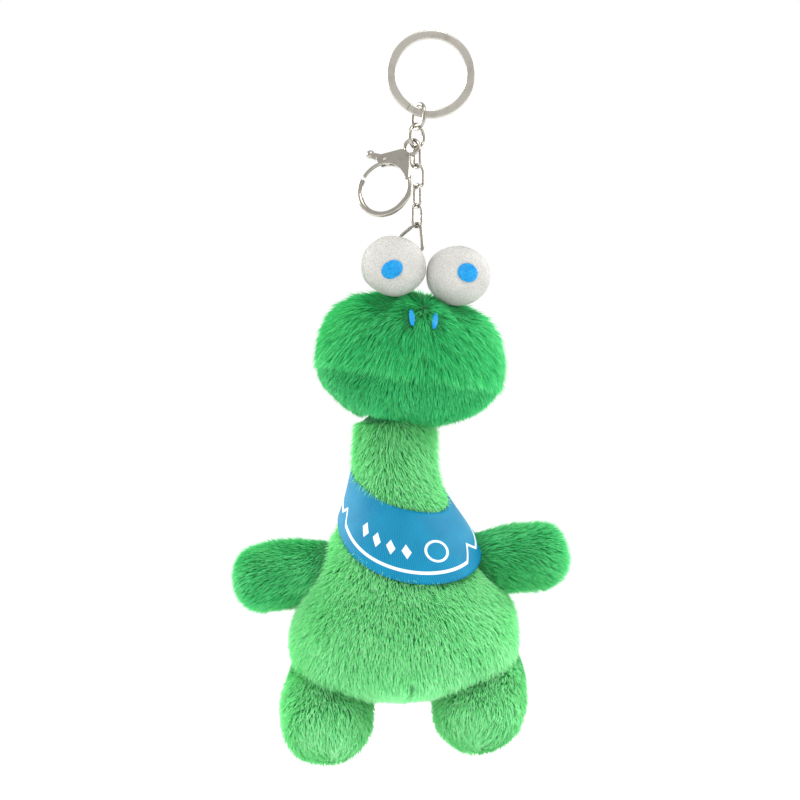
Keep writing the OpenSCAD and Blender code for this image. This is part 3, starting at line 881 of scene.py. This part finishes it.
def edge_height(angle, drop, slope):
    """Height at which a sloping plane cuts the body at an angle round it."""
    normal = Euler((math.radians(slope[0]), math.radians(slope[1]), 0), "XYZ").to_matrix() @ Vector((0, 0, 1))
    high, low = 0.0, -75.0
    for _ in range(26):
        z = (high + low) / 2
        r = eased_radius(z)
        p = Vector((r * math.cos(angle), r * BODY_FLAT * math.sin(angle), z + drop))
        high, low = (z, low) if normal.dot(p) > 0 else (high, z)
    return (high + low) / 2


SCARF_TOP, SCARF_TOP_SLOPE = 17.3, (27, 17)
SCARF_LOW, SCARF_LOW_SLOPE = 30.0, (36.4, 12)
RIBBON_THICK = 0.55


def scarf_mesh(around=190, across=22):
    """A closed band: outer face and inner face, and its rows, from which the print's coordinates in millimetres are
    laid out.
    """
    rows = []
    for i in range(around):
        angle = 2 * math.pi * i / around
        top = edge_height(angle, SCARF_TOP, SCARF_TOP_SLOPE)
        low = edge_height(angle, SCARF_LOW, SCARF_LOW_SLOPE)
        top += 0.25 * math.sin(angle * 5 + 1)
        low += 0.35 * math.sin(angle * 4)
        line = []
        for k in range(across + 1):
            v = k / across
            z = top + (low - top) * v
            r = eased_radius(z) - 1.5 * (1 - v) ** 3 + 0.35 * math.sin(angle * 7 + v * 2) * (v - 0.5) ** 2
            line.append(Vector((r * math.cos(angle), r * BODY_FLAT * math.sin(angle), z)))
        rows.append(line)
    points, faces = [], []
    wide = across + 1
    for shell in (RIBBON_THICK, 0.0):
        for i, line in enumerate(rows):
            for k, p in enumerate(line):
                out = Vector((p.x, p.y / BODY_FLAT ** 2, 0)).normalized()
                points.append(p + out * (shell + 0.1))
    inner = around * wide
    for i in range(around):
        j = (i + 1) % around
        for k in range(across):
            a, b, c, d = i * wide + k, i * wide + k + 1, j * wide + k + 1, j * wide + k
            faces.append((a, b, c, d))
            faces.append((inner + d, inner + c, inner + b, inner + a))
        for k in (0, across):
            a, d = i * wide + k, j * wide + k
            faces.append((a, d, inner + d, inner + a))
    return rows, [BODY_PLACE @ (p * MM) for p in points], faces


def ribbon_material():
    """Blue ribbed ribbon, its print in white: a line near the lower edge, lozenges and a ring."""
    s = Shader("scarf_ribbon", Roughness=0.5, Specular_IOR_Level=0.15)
    place = s.node("ShaderNodeUVMap", uv_map="print")
    u, v, _ = s.split(place)
    rib = s.node("ShaderNodeMath", {0: u * (2 * math.pi / 0.62)}, operation="SINE") * 0.5 + 0.5
    weave = s.noise(s.place(), 2600.0, 1.0)
    fade = s.noise(s.place(), 120.0, 2.0)
    peak = lambda at, wide, high: (1.0 - ((u - at).maths("ABSOLUTE", 0.0) / wide).clamped()) * high
    line = (v - 4.2 - peak(-25.5, 2.6, 3.2) - peak(25.0, 3.5, 4.5)).maths("ABSOLUTE", 0.0)
    white = 1.0 - line.above(0.5, 0.68)
    step = 5.2
    cell = (u + 13.0).maths("PINGPONG", step / 2)
    lozenge = cell + (v - 11.4).maths("ABSOLUTE", 0.0) * 0.6
    row = (1.0 - lozenge.above(1.5, 1.7)) * (u + 16.2).above(0, 0.1) * (1.0 - (u - 5.6).above(0, 0.1))
    away = s.node("ShaderNodeMath", {0: (u - 12.6) * (u - 12.6) + (v - 12.0) * (v - 12.0), 1: 0.5},
                  operation="POWER")
    ring = (away - 3.7).maths("ABSOLUTE", 0.0)
    white = (white + row + (1.0 - ring.above(0.36, 0.5))).clamped()
    blue = s.mix((rib * 0.5 + fade * 0.7 - 0.15).clamped(), linear((2, 104, 146)), linear((7, 142, 178)))
    s.feed(Base_Color=s.mix(white * (weave * 0.3 + 0.75).clamped(), blue, linear((240, 246, 248))))
    s.feed(Roughness=rib * -0.12 + 0.52)
    return s.bump(rib + weave * 0.4, 0.09 * MM, 0.75).material


scarf_rows, scarf_points, scarf_faces = scarf_mesh()
scarf = mesh_piece("scarf_band", scarf_points, scarf_faces, ribbon_material())
prints = scarf.data.uv_layers.new(name="print")
AROUND, WIDE = len(scarf_rows), len(scarf_rows[0])
girth = [0.0]
for i in range(AROUND):
    girth.append(girth[-1] + (scarf_rows[(i + 1) % AROUND][WIDE // 2] - scarf_rows[i][WIDE // 2]).length)
FRONT = girth[AROUND * 3 // 4]
deep = [sum((row[k + 1] - row[k]).length for k in range(WIDE - 1)) for row in scarf_rows]
for loop in scarf.data.loops:
    index = loop.vertex_index % (AROUND * WIDE)
    i, k = divmod(index, WIDE)
    prints.data[loop.index].uv = (girth[i] - FRONT, deep[i] * (1 - k / (WIDE - 1)))
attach(scarf, "torso")
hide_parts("scarf")
scarf_area = sum(d * (girth[i + 1] - girth[i]) for i, d in enumerate(deep)) * MM * MM


# ==== Body: pile =============================================================================
# Softer, shorter pile than the head's, brushed down; it is pressed flat under the scarf and
# worn into a short parting low on the belly. Front and back panels meet at the side seams.

ARM_AT = Vector((27.5, 0, -45.5))
HIP_AT = Vector((27, 2.5, -85))
TAIL_AT = Vector((0, 23.7, -69.17))


def band_depth(p):
    """Signed distance in millimetres inside the scarf's band, along the body."""
    out = []
    for drop, slope, sign in ((SCARF_TOP, SCARF_TOP_SLOPE, -1), (SCARF_LOW, SCARF_LOW_SLOPE, 1)):
        turn = Euler((math.radians(slope[0]), math.radians(slope[1]), 0), "XYZ").to_matrix()
        out.append(sign * (turn @ Vector((0, 0, 1))).dot(p + Vector((0, 0, drop))))
    return min(out)


def body_share(p):
    out = 1.0 - 0.6 * smooth(band_depth(p), -0.2, 1.2)
    if p.z > 4:
        out = 0.0
    for side in (-1, 1):
        arm = (p - Vector((side * ARM_AT.x, ARM_AT.y, ARM_AT.z))).length
        leg = (p - Vector((side * HIP_AT.x, HIP_AT.y, HIP_AT.z))).length
        out *= smooth(arm, 9.0, 11.5) * smooth(leg, 12.0, 15.0)
    out *= smooth((p - TAIL_AT).length, 4.5, 6.5)
    parting = math.hypot((p.x - 2.0) / 0.9, (p.z + 85.5) / 3.2)
    if p.y < 0:
        out *= 0.25 + 0.75 * smooth(parting, 0.6, 1.8)
    return out


def panel(front):
    def rule(co):
        p = BODY_INWARD @ co / MM
        side = -p.y if front else p.y
        return body_share(p) * smooth(side, -0.5, 0.4)
    return rule


# a lighter copy of the head's green pile, for the body and the legs: painted light where the lamps fall on the belly
LIT_BODY_FIBRE = pile_fibre("body_fibre_painted_light", (54, 176, 94), (126, 236, 150), (188, 252, 198))
for part, node in (("front", "body_front_cover"), ("back", "body_back_cover")):
    share_of(body_skin, part, panel(part == "front"))
    pile = PILE.made_from(body_skin, f"body_{part}_pile", Share=part, Density=5.2e6, Length=3.9 * MM,
                          Width=0.16 * MM, Lay=0.42, Whorl=BODY_PLACE @ (Vector((0, 0, 40)) * MM),
                          Pull=(0.0, 0.0, -0.4), Lock_Size=1.7 * MM, Locking=0.16, Jitter=0.24, Seed=12,
                          Material=LIT_BODY_FIBRE)
    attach(pile, "torso")
    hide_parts(node)


# ==== Arms, legs and tail ====================================================================
# Each limb is its own stuffed bag with a closed, rounded root that turns in the body's side.
# Arms are drooping paddles, legs short stubs with the feet forward, the tail a small cone.

def limb(name, body, cover, stuffing, place, reach, r_root, r_tip, squeeze, nap, colours, seed, density, length):
    """A bag from the joint to the point reach (millimetres, in place's frame), and its pile."""
    axis = reach.normalized()

    def form(u):
        t = smooth(u.dot(axis), -0.35, 0.35)
        r = r_root + (r_tip - r_root) * smooth(u.dot(axis), -0.6, 0.8)
        p = Vector((u.x * r * squeeze[0], u.y * r * squeeze[1], u.z * r * squeeze[2])) + reach * t
        seam = math.exp(-(u.y / 0.1) ** 2) * 0.45
        return p + u * (lumpy(p, seed, 9, 0.9) - seam)

    skin = cut_skin(name + "_skin", form, place, 1.3, (48, 140, 80))
    inward = place.inverted()
    stuff(skin, lambda co: abs((inward @ co).y / MM) < 0.7 * squeeze[1], most=1.0 * MM)
    share_of(skin, "nap", lambda co: 0.35 + 0.65 * smooth((inward @ co / MM).dot(axis), -r_root * 0.4, r_root * 0.5))
    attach(skin, body)
    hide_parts(stuffing)
    pile = PILE.made_from(skin, name + "_pile", Share="nap", Density=density, Length=length * MM,
                          Width=0.16 * MM, Lay=0.45, Whorl=place @ (axis * -14 * MM), Pull=nap,
                          Lock_Size=1.7 * MM, Locking=0.17, Jitter=0.22, Seed=seed, Material=colours)
    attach(pile, body)
    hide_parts(cover)


LIMB_FIBRE = pile_fibre("limb_fibre", (18, 132, 62), (62, 204, 116), (140, 242, 168))
for side, word, droop in ((-1, "right", 7), (1, "left", -2)):
    place = BODY_PLACE @ Matrix.Translation(Vector((side * ARM_AT.x, ARM_AT.y, ARM_AT.z)) * MM)
    slope = math.radians(droop)
    limb(f"{word}_arm", f"{word}_arm", f"{word}_arm_cover", f"{word}_arm_stuffing", place,
         Vector((side * 17.2 * math.cos(slope), 0, -17.2 * math.sin(slope))), 9.2, 11.4, (1.0, 0.9, 1.0),
         (0.0, 0.0, -0.3), LIMB_FIBRE, 21 + side, 5.0e6, 3.7)
    place = BODY_PLACE @ Matrix.Translation(Vector((side * HIP_AT.x, HIP_AT.y, HIP_AT.z)) * MM)
    limb(f"{word}_leg", f"{word}_leg", f"{word}_leg_cover", f"{word}_leg_stuffing", place,
         Vector((-0.6 if side < 0 else -2.8, -9.5, -11.0 if side < 0 else -9.6)), 13.4, 14.0, (1.04, 1.0, 1.0),
         (0.0, -0.2, -0.4), LIT_BODY_FIBRE, 31 + side, 4.6e6, 3.9)
TAIL_PLACE = BODY_PLACE @ Matrix.Translation(TAIL_AT * MM)
rise = math.radians(25)
limb("tail", "tail", "tail_cover", "tail_stuffing", TAIL_PLACE,
     Vector((0, 16.5 * math.cos(rise), 16.5 * math.sin(rise))), 6.4, 3.4, (1.0, 1.0, 1.0),
     (0.0, 0.0, -0.2), LIMB_FIBRE, 41, 4.2e6, 2.6)


# ==== Camera, light and floor ================================================================
# A pale floor under the hanging toy, two large soft lamps and a bright, even surround; the
# camera looks level from the front.

floor = mesh_piece("floor", [(-2, -1, -0.262), (2, -1, -0.262), (2, 3, -0.262), (-2, 3, -0.262)],
                   [(0, 1, 2, 3)], Shader("floor_white", Base_Color=(0.9, 0.9, 0.9, 1), Roughness=0.9,
                                       Emission_Color=(1, 1, 1, 1), Emission_Strength=0.14).material)


def lamp(name, at, target, size, power, colour=(1, 1, 1)):
    light = bpy.data.lights.new(name, "AREA")
    light.shape, light.size, light.energy, light.color = "DISK", size, power, colour
    made = bpy.data.objects.new(name, light)
    made.location = at
    made.rotation_euler = (Vector(target) - Vector(at)).to_track_quat("-Z", "Y").to_euler()
    bpy.context.scene.collection.objects.link(made)
    return made


MIDDLE = (-0.0106, 0, -0.1233)
lamp("key", (0.12, -0.5, 0.78), MIDDLE, 0.5, 5.5)
lamp("rim_left", (-0.55, 0.25, 0.1), MIDDLE, 0.4, 4)
lamp("rim_right", (0.55, 0.25, 0.1), MIDDLE, 0.4, 3)
bpy.context.scene.view_settings.view_transform = "Standard"

world = bpy.data.worlds.new("surround")
world.use_nodes = True
world.node_tree.nodes["Background"].inputs["Color"].default_value = (1.0, 1.0, 1.0, 1)
world.node_tree.nodes["Background"].inputs["Strength"].default_value = 1.0
bpy.context.scene.world = world

DISTANCE, SEEN = 0.9, 0.273
lens = bpy.data.cameras.new("camera")
lens.sensor_width = 36
lens.lens = 36 * DISTANCE / SEEN
camera = bpy.data.objects.new("camera", lens)
camera.location = (MIDDLE[0], -DISTANCE, MIDDLE[2])
camera.rotation_euler = (math.pi / 2, 0, 0)
bpy.context.scene.collection.objects.link(camera)
bpy.context.scene.camera = camera
